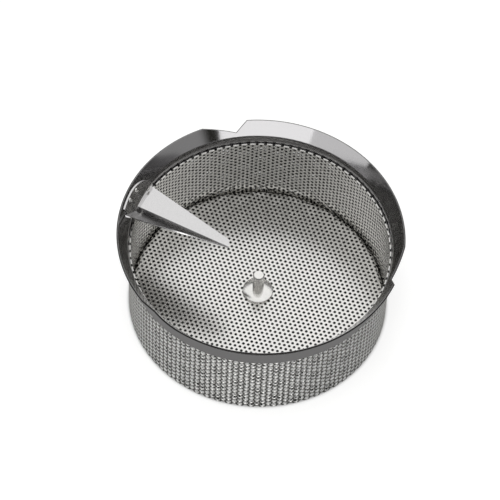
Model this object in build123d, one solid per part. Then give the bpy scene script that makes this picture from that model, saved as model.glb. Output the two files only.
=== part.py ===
from build123d import *
import math
import os

# Sieve basket of a food mill: a perforated floor and double wall hung from a flared ring.
# Millimetres, +Z up. The origin is on the basket's axis, level with its bottom edge.

# Perforated sheets: round holes in a triangular layout
FINE_PITCH = 3.5
FINE_HOLE = 2.0
FINE_THICKNESS = 0.8
COARSE_THICKNESS = 0.8

# One modelled opening in the floor stands for a block of this many real holes each way
HOLES_PER_OPENING = 4
ROW_AZIMUTH = -11.4

# One modelled opening in the walls stands for a four-sided block of holes in both strips
WALL_OPENING_COLUMNS = 18
WALL_OPENING_ROWS = 2
WALL_OPENING_WIDTH = 20.0
WALL_OPENING_HEIGHT = 22.0
WALL_OPENING_MARGIN = 2.0

# Basket
BASKET_RADIUS = 91.4
WALL_TOP = 62.0
SUPPORT_TOP = 60.0
FLOOR_TOP = 8.0
FLOOR_CORNER = 2.6
FLOOR_BORDER = 4.6

# Ring: a band outside the basket, then a flared collar
RING_THICKNESS = 1.2
BAND_BOTTOM = 57.0
BEND_HEIGHT = 67.0
LIP_RADIUS = 99.6
LIP_HEIGHT = 78.4

# Cam notches in the collar: a long ramp down from the lip, then a short step back up
NOTCH_COUNT = 3
NOTCH_AZIMUTH = 103.0
NOTCH_FLOOR = 71.0
NOTCH_RAMP_ANGLE = 14.1
NOTCH_STEP_ANGLE = 4.8

# Deflector blade: its plate lies just above the wall's top edge
BLADE_THICKNESS = 1.0
PLATE_TOP = 63.6
FOLD_START = (-85.4, 27.7)
FOLD_AZIMUTH = -25.3
FOLD_LENGTH = 70.6
PLATE_ROOT_WIDTH = 19.6
PLATE_TIP_WIDTH = 5.5
WING_ANGLE = 31.0
WING_ROOT_WIDTH = 20.6
TAB_AZIMUTH = 160.5
TAB_SPAN = 22.0
TAB_TOP = 76.8
TAB_SHOULDER = 68.0
TAB_CORNER_SPAN = 13.0

# Rivets through the tab and the collar: azimuth and height of each
RIVET_PLACES = ((152.6, 66.1), (158.7, 73.7), (164.7, 74.5))
RIVET_RADIUS = 1.0
RIVET_HEAD_RADIUS = 1.6
RIVET_HEAD_HEIGHT = 0.7
RIVET_HEAD_LIFT = 0.02
TAB_HOLE_PLACE = (159.5, 69.6)
TAB_HOLE_RADIUS = 0.9

# Centre pin and its washers
PIN_RADIUS = 4.0
PIN_TOP = 28.3
PIN_CHAMFER = 0.6
TENON_RADIUS = 3.0
PEENED_RADIUS = 4.6
PEENED_HEIGHT = 1.4
WASHER_RADIUS = 10.8
WASHER_THICKNESS = 1.8
BACKING_RADIUS = 9.0
BACKING_THICKNESS = 1.2

# Worked out from the driving dimensions
SUPPORT_INNER = BASKET_RADIUS - COARSE_THICKNESS
SIEVE_INNER = SUPPORT_INNER - FINE_THICKNESS
COLLAR_RUN = LIP_RADIUS - BASKET_RADIUS - RING_THICKNESS
COLLAR_RISE = LIP_HEIGHT - BEND_HEIGHT
COLLAR_ANGLE = math.degrees(math.atan2(COLLAR_RISE, COLLAR_RUN))
WASHER_TOP = FLOOR_TOP + WASHER_THICKNESS
FLOOR_UNDERSIDE = FLOOR_TOP - FINE_THICKNESS
BACKING_UNDERSIDE = FLOOR_UNDERSIDE - BACKING_THICKNESS


def turned(section):
    """A section drawn as (radius, height), revolved about the basket's axis."""
    return revolve(Plane.XZ * section, Axis.Z)


def tube(inner, outer, bottom, top):
    """A plain rolled strip."""
    shell = Cylinder(outer, top - bottom, align=(Align.CENTER, Align.CENTER, Align.MIN))
    hollow = Cylinder(inner, top - bottom, align=(Align.CENTER, Align.CENTER, Align.MIN))
    return Pos(0, 0, bottom) * (shell - hollow)


def largest_solid(shape):
    """The main body of a trimmed piece, without its offcuts."""
    return shape.solids().sort_by(SortBy.VOLUME)[-1]


def formed_sheet(path, thickness):
    """The section of a bent sheet, mitred at its bends, from the line through its middle."""
    points = [Vector(*point) for point in path]
    steps = [(after - point).normalized() for point, after in zip(points, points[1:])]
    left = []
    right = []
    for point, before, after in zip(points, [steps[0]] + steps, steps + [steps[-1]]):
        across = (before + after).rotate(Axis.Z, 90) * (thickness / 2 / (1 + before.dot(after)))
        left.append(point + across)
        right.append(point - across)
    return make_face(Polyline(*left, *reversed(right), close=True))


def radial_plane(azimuth, height=0.0):
    """A plane that faces outwards at an azimuth, with x along the wall and y up."""
    turn = math.radians(azimuth)
    outward = (math.cos(turn), math.sin(turn), 0)
    along = (-math.sin(turn), math.cos(turn), 0)
    return Plane(origin=(0, 0, height), x_dir=along, z_dir=outward)


def floor_openings():
    """Six-sided openings on the rows of the perforation, clear of the washer and the border.

    Each has the open area of its block of round holes, and three of them surround the pin.
    """
    pitch = FINE_PITCH * HOLES_PER_OPENING
    open_area = math.pi * (FINE_HOLE * HOLES_PER_OPENING / 2) ** 2
    radius = math.sqrt(open_area / (1.5 * math.sqrt(3)))
    reach = SIEVE_INNER - FLOOR_BORDER - radius
    steps = math.ceil(reach / pitch) + 2
    opening = extrude(RegularPolygon(radius, 6, rotation=30), FLOOR_TOP + 1)
    places = []
    for row in range(-steps, steps + 1):
        for column in range(-2 * steps, 2 * steps + 1):
            x = (column + row / 2 + 1 / 2) * pitch
            y = (row + 1 / 3) * pitch * math.sqrt(3) / 2
            if WASHER_RADIUS + radius < math.hypot(x, y) < reach:
                places.append(Pos(x, y, 0) * opening)
    return [Rot(0, 0, ROW_AZIMUTH) * place for place in places]


def sieve_floor():
    """The perforated disc, with its edge turned down inside the wall."""
    middle = FINE_THICKNESS / 2
    path = (
        (0, FLOOR_TOP - middle),
        (SIEVE_INNER - middle - FLOOR_CORNER, FLOOR_TOP - middle),
        (SIEVE_INNER - middle, FLOOR_TOP - middle - FLOOR_CORNER),
        (SIEVE_INNER - middle, 0),
    )
    disc = turned(formed_sheet(path, FINE_THICKNESS))
    return disc - floor_openings() - Cylinder(TENON_RADIUS, 3 * FLOOR_TOP)


def wall_openings():
    """Four-sided openings through both strips, in staggered rows between the floor and the band."""
    lowest = FLOOR_TOP + WALL_OPENING_MARGIN + WALL_OPENING_HEIGHT / 2
    highest = BAND_BOTTOM - WALL_OPENING_MARGIN - WALL_OPENING_HEIGHT / 2
    row_step = (highest - lowest) / (WALL_OPENING_ROWS - 1)
    outline = Polyline(
        (WALL_OPENING_WIDTH / 2, 0),
        (0, WALL_OPENING_HEIGHT / 2),
        (-WALL_OPENING_WIDTH / 2, 0),
        (0, -WALL_OPENING_HEIGHT / 2),
        close=True,
    )
    places = []
    for row in range(WALL_OPENING_ROWS):
        for column in range(WALL_OPENING_COLUMNS):
            azimuth = (column + row % 2 / 2) * 360 / WALL_OPENING_COLUMNS
            plane = radial_plane(azimuth, lowest + row * row_step)
            places.append(plane.offset(SIEVE_INNER - 2 * FINE_THICKNESS))
    depth = 3 * (FINE_THICKNESS + COARSE_THICKNESS)
    return [extrude(place * make_face(outline), depth) for place in places]


def sieve_wall():
    """The fine inner strip, whose top edge shows inside the ring."""
    return tube(SIEVE_INNER, SUPPORT_INNER, 0, WALL_TOP) - wall_openings()


def support_wall():
    """The coarse outer strip that carries the fine one."""
    return tube(SUPPORT_INNER, BASKET_RADIUS, 0, SUPPORT_TOP) - wall_openings()


def collar_section(inset, bottom, thickness):
    """A sheet that follows the band and collar, set in from the middle of the ring's thickness."""
    lean = math.radians(COLLAR_ANGLE)
    radius = BASKET_RADIUS + RING_THICKNESS / 2 - inset
    bend = BEND_HEIGHT + inset * (1 - math.sin(lean)) / math.cos(lean)
    path = (
        (radius, bottom),
        (radius, bend),
        (LIP_RADIUS - RING_THICKNESS / 2 - inset * math.sin(lean), LIP_HEIGHT + inset * math.cos(lean)),
    )
    return formed_sheet(path, thickness)


def cam_notch():
    """A cutter whose outline is seen square to the collar at the notch's lowest point."""
    ramp = LIP_RADIUS * math.sin(math.radians(NOTCH_RAMP_ANGLE))
    step = LIP_RADIUS * math.sin(math.radians(NOTCH_STEP_ANGLE))
    clear_height = LIP_HEIGHT + 2 * RING_THICKNESS
    outline = Polyline(
        (ramp, LIP_HEIGHT),
        (0, NOTCH_FLOOR),
        (-step, LIP_HEIGHT),
        (-step, clear_height),
        (ramp, clear_height),
        close=True,
    )
    return extrude(radial_plane(NOTCH_AZIMUTH) * make_face(outline), 2 * LIP_RADIUS)


def rim_ring():
    """The band and collar, formed from one sheet, with the notches and rivet holes."""
    ring = turned(collar_section(0, BAND_BOTTOM, RING_THICKNESS))
    notch = cam_notch()
    ring -= [Rot(0, 0, 360 / NOTCH_COUNT * index) * notch for index in range(NOTCH_COUNT)]
    return ring - rivet_shanks()


def sheet_plane(azimuth, height):
    """The plane of the ring's inner face at a place, facing the basket's axis."""
    turn = math.radians(azimuth)
    lean = math.radians(90 - COLLAR_ANGLE) if height > BEND_HEIGHT else 0
    middle = BASKET_RADIUS + RING_THICKNESS / 2 + max(0, height - BEND_HEIGHT) * math.tan(lean)
    radius = middle - RING_THICKNESS / 2 / math.cos(lean)
    normal = (-math.cos(lean) * math.cos(turn), -math.cos(lean) * math.sin(turn), math.sin(lean))
    along = (-math.sin(turn), math.cos(turn), 0)
    origin = (radius * math.cos(turn), radius * math.sin(turn), height)
    return Plane(origin=origin, x_dir=along, z_dir=normal)


def rivet_shanks():
    """The rivets' shanks, long enough to pass through the tab and the ring."""
    grip = RING_THICKNESS + BLADE_THICKNESS
    shank = Cylinder(RIVET_RADIUS, 4 * grip)
    return [sheet_plane(*place) * shank for place in RIVET_PLACES]


def blade_rivets():
    """Three rivets, each with a low head inside and its tail hammered flush outside."""
    inside = BLADE_THICKNESS + RIVET_HEAD_LIFT
    outside = -RING_THICKNESS
    section = Polyline(
        (0, inside + RIVET_HEAD_HEIGHT),
        (RIVET_RADIUS, inside + RIVET_HEAD_HEIGHT),
        (RIVET_HEAD_RADIUS, inside),
        (RIVET_RADIUS, inside),
        (RIVET_RADIUS, outside),
        (0, outside),
        close=True,
    )
    rivet = turned(make_face(section))
    return Compound(children=[sheet_plane(*place) * rivet for place in RIVET_PLACES])


def fold_frame():
    """The blade's own frame: x along the fold to the tip, y across the plate, z up."""
    turn = math.radians(FOLD_AZIMUTH)
    along = (math.cos(turn), math.sin(turn), 0)
    return Plane(origin=(*FOLD_START, PLATE_TOP), x_dir=along, z_dir=(0, 0, 1))


def blade_plate():
    """The flat triangle, carried on past its root into the ring that trims it."""
    root_overlap = PLATE_ROOT_WIDTH
    outline = Polyline(
        (-root_overlap, 0),
        (FOLD_LENGTH, 0),
        (FOLD_LENGTH - PLATE_TIP_WIDTH / 2, PLATE_TIP_WIDTH),
        (0, PLATE_ROOT_WIDTH),
        (-root_overlap, PLATE_ROOT_WIDTH),
        close=True,
    )
    return extrude(fold_frame() * make_face(outline), -BLADE_THICKNESS)


def wing_frame():
    """The fold frame turned up about the fold, with y across the wing."""
    turn = math.radians(FOLD_AZIMUTH)
    tilt = math.radians(WING_ANGLE)
    along = Vector(math.cos(turn), math.sin(turn), 0)
    across = Vector(math.sin(turn) * math.cos(tilt), -math.cos(turn) * math.cos(tilt), math.sin(tilt))
    return Plane(origin=(*FOLD_START, PLATE_TOP), x_dir=along, z_dir=across.cross(along))


def blade_wing():
    """The raised wing, widest at the collar and closed to a point at the tip."""
    root_overlap = WING_ROOT_WIDTH
    slope = WING_ROOT_WIDTH / FOLD_LENGTH
    outline = Polyline(
        (-root_overlap, 0),
        (FOLD_LENGTH, 0),
        (-root_overlap, -WING_ROOT_WIDTH - slope * root_overlap),
        close=True,
    )
    return extrude(wing_frame() * make_face(outline), -BLADE_THICKNESS)


def space_under_wing():
    """A block below the wing, which keeps the tab's root off that side of the fold."""
    reach = 2 * WING_ROOT_WIDTH
    outline = Polyline((-reach, 0), (reach, 0), (reach, -reach), (-reach, -reach), close=True)
    return extrude(wing_frame().offset(-BLADE_THICKNESS / 2) * make_face(outline), -reach)


def fold_bend():
    """The rounded outside of the fold between the plate and the wing."""
    tilt = math.radians(WING_ANGLE)
    half = tilt / 2
    lowest = (0, -BLADE_THICKNESS)
    middle = (-BLADE_THICKNESS * math.sin(half), -BLADE_THICKNESS * math.cos(half))
    highest = (-BLADE_THICKNESS * math.sin(tilt), -BLADE_THICKNESS * math.cos(tilt))
    arc = ThreePointArc(lowest, middle, highest)
    sector = make_face([Line((0, 0), lowest), arc, Line(highest, (0, 0))])
    turn = math.radians(FOLD_AZIMUTH)
    across = (-math.sin(turn), math.cos(turn), 0)
    along = (math.cos(turn), math.sin(turn), 0)
    section_plane = Plane(origin=(*FOLD_START, PLATE_TOP), x_dir=across, z_dir=along)
    root_overlap = PLATE_ROOT_WIDTH
    return extrude(section_plane.offset(-root_overlap) * sector, root_overlap + FOLD_LENGTH)


def blade_tab():
    """A patch of sheet against the ring's inner face, with one rounded corner."""
    inset = (RING_THICKNESS + BLADE_THICKNESS) / 2
    shell = turned(collar_section(inset, PLATE_TOP - BLADE_THICKNESS / 2, BLADE_THICKNESS))
    half = BASKET_RADIUS * math.sin(math.radians(TAB_SPAN / 2))
    corner_width = BASKET_RADIUS * math.sin(math.radians(TAB_CORNER_SPAN))
    corner_height = TAB_TOP - TAB_SHOULDER
    corner_start = corner_width - half
    outline = make_face([
        Line((half, BAND_BOTTOM), (half, TAB_TOP)),
        Line((half, TAB_TOP), (corner_start, TAB_TOP)),
        EllipticalCenterArc((corner_start, TAB_SHOULDER), corner_width, corner_height, 90, arc_size=90),
        Line((-half, TAB_SHOULDER), (-half, BAND_BOTTOM)),
        Line((-half, BAND_BOTTOM), (half, BAND_BOTTOM)),
    ])
    window = extrude(radial_plane(TAB_AZIMUTH) * outline, 2 * LIP_RADIUS)
    return shell & window


def deflector_blade():
    """The plate, wing and tab as one folded sheet; the plate and wing end inside the tab's thickness."""
    ring_and_half_tab = turned(collar_section(0, BAND_BOTTOM, RING_THICKNESS + BLADE_THICKNESS))
    folded = largest_solid(blade_plate() + blade_wing() + fold_bend() - ring_and_half_tab)
    spare_hole = sheet_plane(*TAB_HOLE_PLACE) * Cylinder(TAB_HOLE_RADIUS, 4 * BLADE_THICKNESS)
    tab = blade_tab() - space_under_wing() - rivet_shanks() - spare_hole
    return folded + tab


def centre_pin():
    """The pin with its shoulder on the washer and its tail peened over below."""
    section = Polyline(
        (0, PIN_TOP),
        (PIN_RADIUS - PIN_CHAMFER, PIN_TOP),
        (PIN_RADIUS, PIN_TOP - PIN_CHAMFER),
        (PIN_RADIUS, WASHER_TOP),
        (TENON_RADIUS, WASHER_TOP),
        (TENON_RADIUS, BACKING_UNDERSIDE),
        (PEENED_RADIUS, BACKING_UNDERSIDE),
        (TENON_RADIUS, BACKING_UNDERSIDE - PEENED_HEIGHT),
        (0, BACKING_UNDERSIDE - PEENED_HEIGHT),
        close=True,
    )
    return turned(make_face(section))


PIECES = {
    "sieve_floor": sieve_floor,
    "sieve_wall": sieve_wall,
    "support_wall": support_wall,
    "rim_ring": rim_ring,
    "deflector_blade": deflector_blade,
    "blade_rivets": blade_rivets,
    "centre_pin": centre_pin,
    "pin_washer": lambda: tube(TENON_RADIUS, WASHER_RADIUS, FLOOR_TOP, WASHER_TOP),
    "backing_washer": lambda: tube(TENON_RADIUS, BACKING_RADIUS, BACKING_UNDERSIDE, FLOOR_UNDERSIDE),
}

os.makedirs("parts", exist_ok=True)
for name, make in PIECES.items():
    export_step(make(), f"parts/{name}.step")
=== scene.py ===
import math

import bmesh
import bpy
from bpy.props import FloatProperty, FloatVectorProperty, IntProperty, PointerProperty
from mathutils import Matrix, Vector


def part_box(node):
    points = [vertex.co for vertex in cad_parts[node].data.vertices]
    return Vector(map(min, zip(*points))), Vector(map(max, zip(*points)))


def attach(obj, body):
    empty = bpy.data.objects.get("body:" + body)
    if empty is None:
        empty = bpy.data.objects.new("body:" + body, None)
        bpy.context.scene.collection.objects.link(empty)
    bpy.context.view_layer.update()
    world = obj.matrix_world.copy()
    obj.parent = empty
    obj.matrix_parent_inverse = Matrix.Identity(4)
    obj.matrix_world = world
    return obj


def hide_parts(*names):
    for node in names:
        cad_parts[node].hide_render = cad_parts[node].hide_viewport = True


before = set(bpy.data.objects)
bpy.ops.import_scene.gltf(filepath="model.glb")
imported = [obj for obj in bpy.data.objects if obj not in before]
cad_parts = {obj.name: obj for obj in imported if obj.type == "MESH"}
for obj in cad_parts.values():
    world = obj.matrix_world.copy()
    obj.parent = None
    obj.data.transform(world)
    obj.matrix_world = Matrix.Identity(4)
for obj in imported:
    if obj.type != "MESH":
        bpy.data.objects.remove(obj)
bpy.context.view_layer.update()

bl_info = {
    "name": "Food mill sieve basket",
    "version": (1, 0, 0),
    "blender": (4, 5, 0),
    "location": "3D View > Sidebar > Sieve",
    "description": "Dresses the solids of a food mill's sieve basket with punched sheet and steel finishes",
    "category": "Object",
}

BODY = "root"
MM = 0.001

# Sizes that the CAD nodes already fix
FLOOR_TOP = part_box("sieve_floor")[1].z
FLOOR_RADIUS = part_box("sieve_floor")[1].x
SIEVE_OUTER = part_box("sieve_wall")[1].x
SIEVE_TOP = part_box("sieve_wall")[1].z
SUPPORT_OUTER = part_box("support_wall")[1].x
SUPPORT_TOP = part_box("support_wall")[1].z
BAND_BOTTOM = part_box("rim_ring")[0].z
PIN_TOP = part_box("centre_pin")[1].z
WASHER_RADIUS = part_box("pin_washer")[1].x
WASHER_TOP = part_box("pin_washer")[1].z
BACKING_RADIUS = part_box("backing_washer")[1].x
BACKING_BOTTOM, BACKING_TOP = (corner.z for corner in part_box("backing_washer"))


def linear(code):
    """An sRGB hex colour as linear red, green, blue and alpha."""
    channels = [int(code[start:start + 2], 16) / 255 for start in (1, 3, 5)]
    return [c / 12.92 if c <= 0.04045 else ((c + 0.055) / 1.055) ** 2.4 for c in channels] + [1.0]


def length_property(name, meaning, size):
    """A setting for a length, with its default in millimetres."""
    return FloatProperty(name=name, description=meaning, default=size * MM, unit="LENGTH", precision=5)


def angle_property(name, meaning, degrees):
    """A setting for an angle, with its default in degrees."""
    return FloatProperty(name=name, description=meaning, default=math.radians(degrees), subtype="ANGLE")


def colour_property(name, meaning, code):
    """A setting for a colour, with its default as sRGB hex."""
    return FloatVectorProperty(name=name, description=meaning, default=linear(code), size=4, subtype="COLOR")


def place_property(name, meaning, place):
    """A setting for a lamp's place, with its default in metres."""
    return FloatVectorProperty(name=name, description=meaning, default=place, size=3, subtype="TRANSLATION")


def extent_property(name, meaning, extent):
    """A setting for a lamp's width and height, with its default in metres."""
    return FloatVectorProperty(name=name, description=meaning, default=extent, size=2, unit="LENGTH")


def power_property(name, meaning, watts):
    """A setting for a lamp's power, with its default in watts."""
    return FloatProperty(name=name, description=meaning, default=watts, subtype="POWER")


def count_property(name, meaning, count, least):
    """A setting for a whole number, with its default and least value."""
    return IntProperty(name=name, description=meaning, default=count, min=least)


def add_node(tree, kind, inputs=None, **settings):
    """Adds a node with its settings, sets or links its inputs by name or number, and gives its outputs."""
    node = tree.nodes.new(kind)
    for name, value in settings.items():
        setattr(node, name, value)
    for socket, value in (inputs or {}).items():
        if isinstance(value, bpy.types.NodeSocket):
            tree.links.new(value, node.inputs[socket])
        else:
            node.inputs[socket].default_value = value
    return node.outputs


def calc(tree, operation, *values):
    """Adds a math node and gives its result."""
    return add_node(tree, "ShaderNodeMath", dict(enumerate(values)), operation=operation)[0]


def vector_calc(tree, operation, *values, **named):
    """Adds a vector math node and gives its result, a number or a vector."""
    outputs = add_node(tree, "ShaderNodeVectorMath", dict(enumerate(values)) | named, operation=operation)
    return outputs["Value" if operation in ("LENGTH", "DISTANCE", "DOT_PRODUCT") else "Vector"]


def combine(tree, **axes):
    """Adds a vector with the given X, Y and Z, and 0 for the rest."""
    return add_node(tree, "ShaderNodeCombineXYZ", axes)[0]


def map_range(tree, value, start, end, low=0.0, high=1.0, fade="LINEAR"):
    """Adds a node that takes a value between start and end to one between low and high."""
    inputs = {"Value": value, "From Min": start, "From Max": end, "To Min": low, "To Max": high}
    return add_node(tree, "ShaderNodeMapRange", inputs, interpolation_type=fade)["Result"]


def mix_colours(tree, factor, first, second, blend="MIX"):
    """Adds a node that mixes two colours. Its sockets go by number, because their names repeat."""
    inputs = {"Factor": factor, 6: first, 7: second}
    return add_node(tree, "ShaderNodeMix", inputs, data_type="RGBA", blend_type=blend)[2]


class SievePerforation(bpy.types.PropertyGroup):
    """The punched sheets."""

    thickness: length_property("Sheet", "Thickness of both punched sheets", 0.8)
    fine_pitch: length_property(
        "Fine pitch", "Distance between neighbouring holes of the floor and inner wall", 3.5,
    )
    fine_hole: length_property("Fine hole", "Diameter of the fine holes", 2.0)
    fine_columns: count_property("Fine columns", "Hole columns round the inner wall", 188, 4)
    coarse_pitch: length_property("Coarse pitch", "Distance between the outer wall's neighbouring holes", 4.5)
    coarse_hole: length_property("Coarse hole", "Diameter of the coarse holes", 3.0)
    coarse_columns: count_property("Coarse columns", "Hole columns round the outer wall", 146, 4)
    lip_width: length_property("Lip width", "How far the punch drew in the sheet round a coarse hole", 0.38)
    lip_depth: length_property("Lip depth", "How deep the punch drew in the edge of a coarse hole", 0.24)
    coarse_turn: angle_property("Coarse turn", "Azimuth of the outer wall's first hole column", 0.75)
    row_azimuth: angle_property("Row direction", "Azimuth of the floor's hole rows", -11.36)
    row_phase: FloatVectorProperty(
        name="Row phase", description="Place of the hole nearest the axis, across and along the rows",
        default=(0.249 * MM, -1.019 * MM), size=2, unit="LENGTH", precision=6,
    )
    rim_slope: length_property("Rim slope", "How far the inner side of a wall's cut top drops", 0.25)
    corner_radius: length_property("Floor corner", "Radius of the floor's turned edge", 4.0)


class SieveRing(bpy.types.PropertyGroup):
    """The flared ring."""

    thickness: length_property("Ring sheet", "Thickness of the ring", 1.2)
    bend_height: length_property("Bend", "Height of the bend between band and collar", 67.0)
    bend_radius: length_property("Bend radius", "Radius of the bend at the middle of the sheet", 8.0)
    lip_radius: length_property("Lip", "Radius of the collar's edge", 99.6)
    lip_height: length_property("Lip height", "Height of the collar's edge", 78.4)
    notch_count: count_property("Notches", "Cam notches in the collar", 3, 1)
    notch_azimuth: angle_property("First notch", "Azimuth of the first notch's lowest point", 103.0)
    notch_floor: length_property("Notch floor", "Height of a notch's lowest point", 71.0)
    notch_ramp: angle_property("Ramp", "Angle that the long side of a notch takes up", 14.1)
    notch_step: angle_property("Step", "Angle that the short side of a notch takes up", 4.8)


class SieveFittings(bpy.types.PropertyGroup):
    """The pin, its washers and the rivets."""

    pin_radius: length_property("Pin", "Radius of the centre pin", 4.0)
    pin_chamfer: length_property("Pin chamfer", "Chamfer at the pin's top", 0.6)
    rivet_azimuths: FloatVectorProperty(
        name="Rivet azimuths", description="Where round the ring the rivets sit",
        default=[math.radians(turn) for turn in (152.6, 158.7, 164.7)], size=3, subtype="EULER",
    )
    rivet_heights: FloatVectorProperty(
        name="Rivet heights", description="How high on the ring the rivets sit",
        default=(66.1 * MM, 73.7 * MM, 74.5 * MM), size=3, unit="LENGTH", precision=5,
    )
    shank_radius: length_property("Rivet shank", "Radius of a rivet's shank", 1.0)
    rivet_radius: length_property("Rivet head", "Radius of a rivet's head", 1.6)
    rivet_height: length_property("Rivet height", "Height of a rivet's head", 0.7)
    blade_thickness: length_property("Blade sheet", "Thickness of the blade", 1.0)
    blade_edge: length_property("Blade edge", "Radius of the blade's rounded edges", 0.35)
    edge_round: length_property("Edge", "Width of the broken edges of cut sheet", 0.18)


class SieveFinish(bpy.types.PropertyGroup):
    """The steels."""

    punched: colour_property("Punched sheet", "Tinned steel of the punched sheets", "#ECEBE8")
    # Painted shade: this dark grey stands in for the shade in the gap between the two walls
    dull: colour_property(
        "Between the walls", "Dull steel on the faces that the two walls turn to each other", "#2E2D2A",
    )
    # Painted shade: this near black stands in for the shade inside the fine holes
    raw_edge_painted_shade: colour_property("Fine punched edge", "Raw sheared steel inside the fine holes", "#201F1D")
    matte: colour_property("Matte tin", "Unrubbed tin that shows in the coarse holes", "#F5F5F5")
    support: colour_property("Support strip", "Plain steel of the outer wall's outside", "#767574")
    ring: colour_property("Ring", "Bright rolled steel of the ring", "#A4A3A4")
    # Painted shade: this dark tone stands in for the shadow line along the collar's lip
    cut_edge_painted_shade: colour_property("Ring's cut edge", "Sheared steel of the collar's edge", "#353433")
    blade: colour_property("Blade", "Satin steel of the blade", "#DCDBDB")
    turned: colour_property("Turned parts", "Turned steel of the pin, washers and rivets", "#F0EFEC")


class SieveStage(bpy.types.PropertyGroup):
    """The camera and the studio."""

    elevation: angle_property("Elevation", "Camera's angle above the horizon", 54.619)
    roll: angle_property("Roll", "Camera's turn about its line of sight", -3.001)
    distance: FloatProperty(
        name="Distance", description="Camera's distance from the middle of the floor",
        default=1.8442, unit="LENGTH",
    )
    aim: FloatVectorProperty(
        name="Aim", description="How far the floor's middle lies right of and above the line of sight",
        default=(7.093 * MM, -28.861 * MM), size=2, unit="LENGTH", precision=5,
    )
    lens: FloatProperty(name="Lens", description="Focal length on a 36 mm sensor", default=187.2)
    backdrop: colour_property("Paper", "Colour of the floor's paper", "#A4A4A2")
    # Painted shadow: the paper's colour under and behind the basket
    shade: colour_property("Shaded paper", "Colour of the paper in the basket's own shade", "#484846")
    glow: FloatProperty(
        name="Paper white", description="White that the eye sees in the paper round the basket", default=0.80,
    )
    mirrored_glow: FloatProperty(
        name="Mirrored white", description="White that the metal mirrors from the paper", default=0.12,
    )
    halo: length_property("Halo", "Width over which that white comes in", 5)
    hidden_depth: length_property("Hidden depth", "How far behind the axis the shaded paper reaches", 50)
    hidden_fade: length_property(
        "Hidden fade", "Width over which the shaded paper fades out behind the basket", 16,
    )
    room: colour_property("Room", "What the metal mirrors between the white cards", "#2E2D26")
    ambient: FloatProperty(name="Ambient", description="Light from all round on dull surfaces", default=0.15)
    lamp_place: place_property("Lamp place", "Where the overhead lamp hangs", (-0.1, -0.1, 1.9))
    lamp_size: extent_property("Lamp size", "Width and height of the overhead lamp", (1.0, 1.0))
    lamp_power: power_property("Lamp power", "Power of the overhead lamp", 20.0)
    softbox_place: place_property("Softbox place", "Where the low front softbox stands", (0.02, -1.3, 0.26))
    softbox_size: extent_property("Softbox size", "Width and height of the low softbox", (1.62, 0.5))
    softbox_power: power_property("Softbox power", "Power of the low softbox", 5.4)
    side_place: place_property(
        "Side place", "Where the weaker side softbox stands, at the front left", (-1.04, -0.78, 0.26),
    )
    side_size: extent_property("Side size", "Width and height of the side softbox", (1.05, 0.5))
    side_power: power_property("Side power", "Power of the side softbox", 2.2)


class SieveSettings(bpy.types.PropertyGroup):
    """All that a user would change."""

    perforation: PointerProperty(type=SievePerforation)
    ring: PointerProperty(type=SieveRing)
    fittings: PointerProperty(type=SieveFittings)
    finish: PointerProperty(type=SieveFinish)
    stage: PointerProperty(type=SieveStage)


# Materials

WHITE = (1, 1, 1, 1)
# The grain: the part of the noise's range that counts, its fineness, darkest tone and height
NOISE_MIDDLE = (0.3, 0.7)
GRAIN_DETAIL, GRAIN_ROUGHNESS = 3.0, 0.6
GRAIN_TONE = 0.93
GRAIN_HEIGHT = 0.05 * MM


def new_material(name):
    """An empty node material."""
    material = bpy.data.materials.new(name)
    material.use_nodes = True
    material.node_tree.nodes.clear()
    return material


def steel(name, colour, roughness, roughness_spread, grain, grain_stretch=(1, 1, 1), bump=0.05):
    """Bare steel whose gloss and height vary along a fine grain.

    The grain is noise stretched by grain_stretch over Object coordinates. Its size is in metres.
    """
    material = new_material(name)
    tree = material.node_tree
    place = add_node(tree, "ShaderNodeTexCoord")["Object"]
    stretched = add_node(tree, "ShaderNodeMapping", {"Vector": place, "Scale": grain_stretch})[0]
    noise = add_node(tree, "ShaderNodeTexNoise", {
        "Vector": stretched, "Scale": 1 / grain, "Detail": GRAIN_DETAIL, "Roughness": GRAIN_ROUGHNESS,
    })["Fac"]
    gloss = map_range(tree, noise, *NOISE_MIDDLE, roughness - roughness_spread, roughness + roughness_spread)
    tone = map_range(tree, noise, *NOISE_MIDDLE, GRAIN_TONE, 1.0)
    shade = mix_colours(tree, 1.0, colour, tone, "MULTIPLY")
    height = add_node(tree, "ShaderNodeBump", {
        "Strength": bump, "Distance": GRAIN_HEIGHT, "Height": noise,
    })[0]
    surface = add_node(tree, "ShaderNodeBsdfPrincipled", {
        "Base Color": shade, "Metallic": 1.0, "Roughness": gloss, "Normal": height,
    })[0]
    add_node(tree, "ShaderNodeOutputMaterial", {"Surface": surface})
    return material


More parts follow.
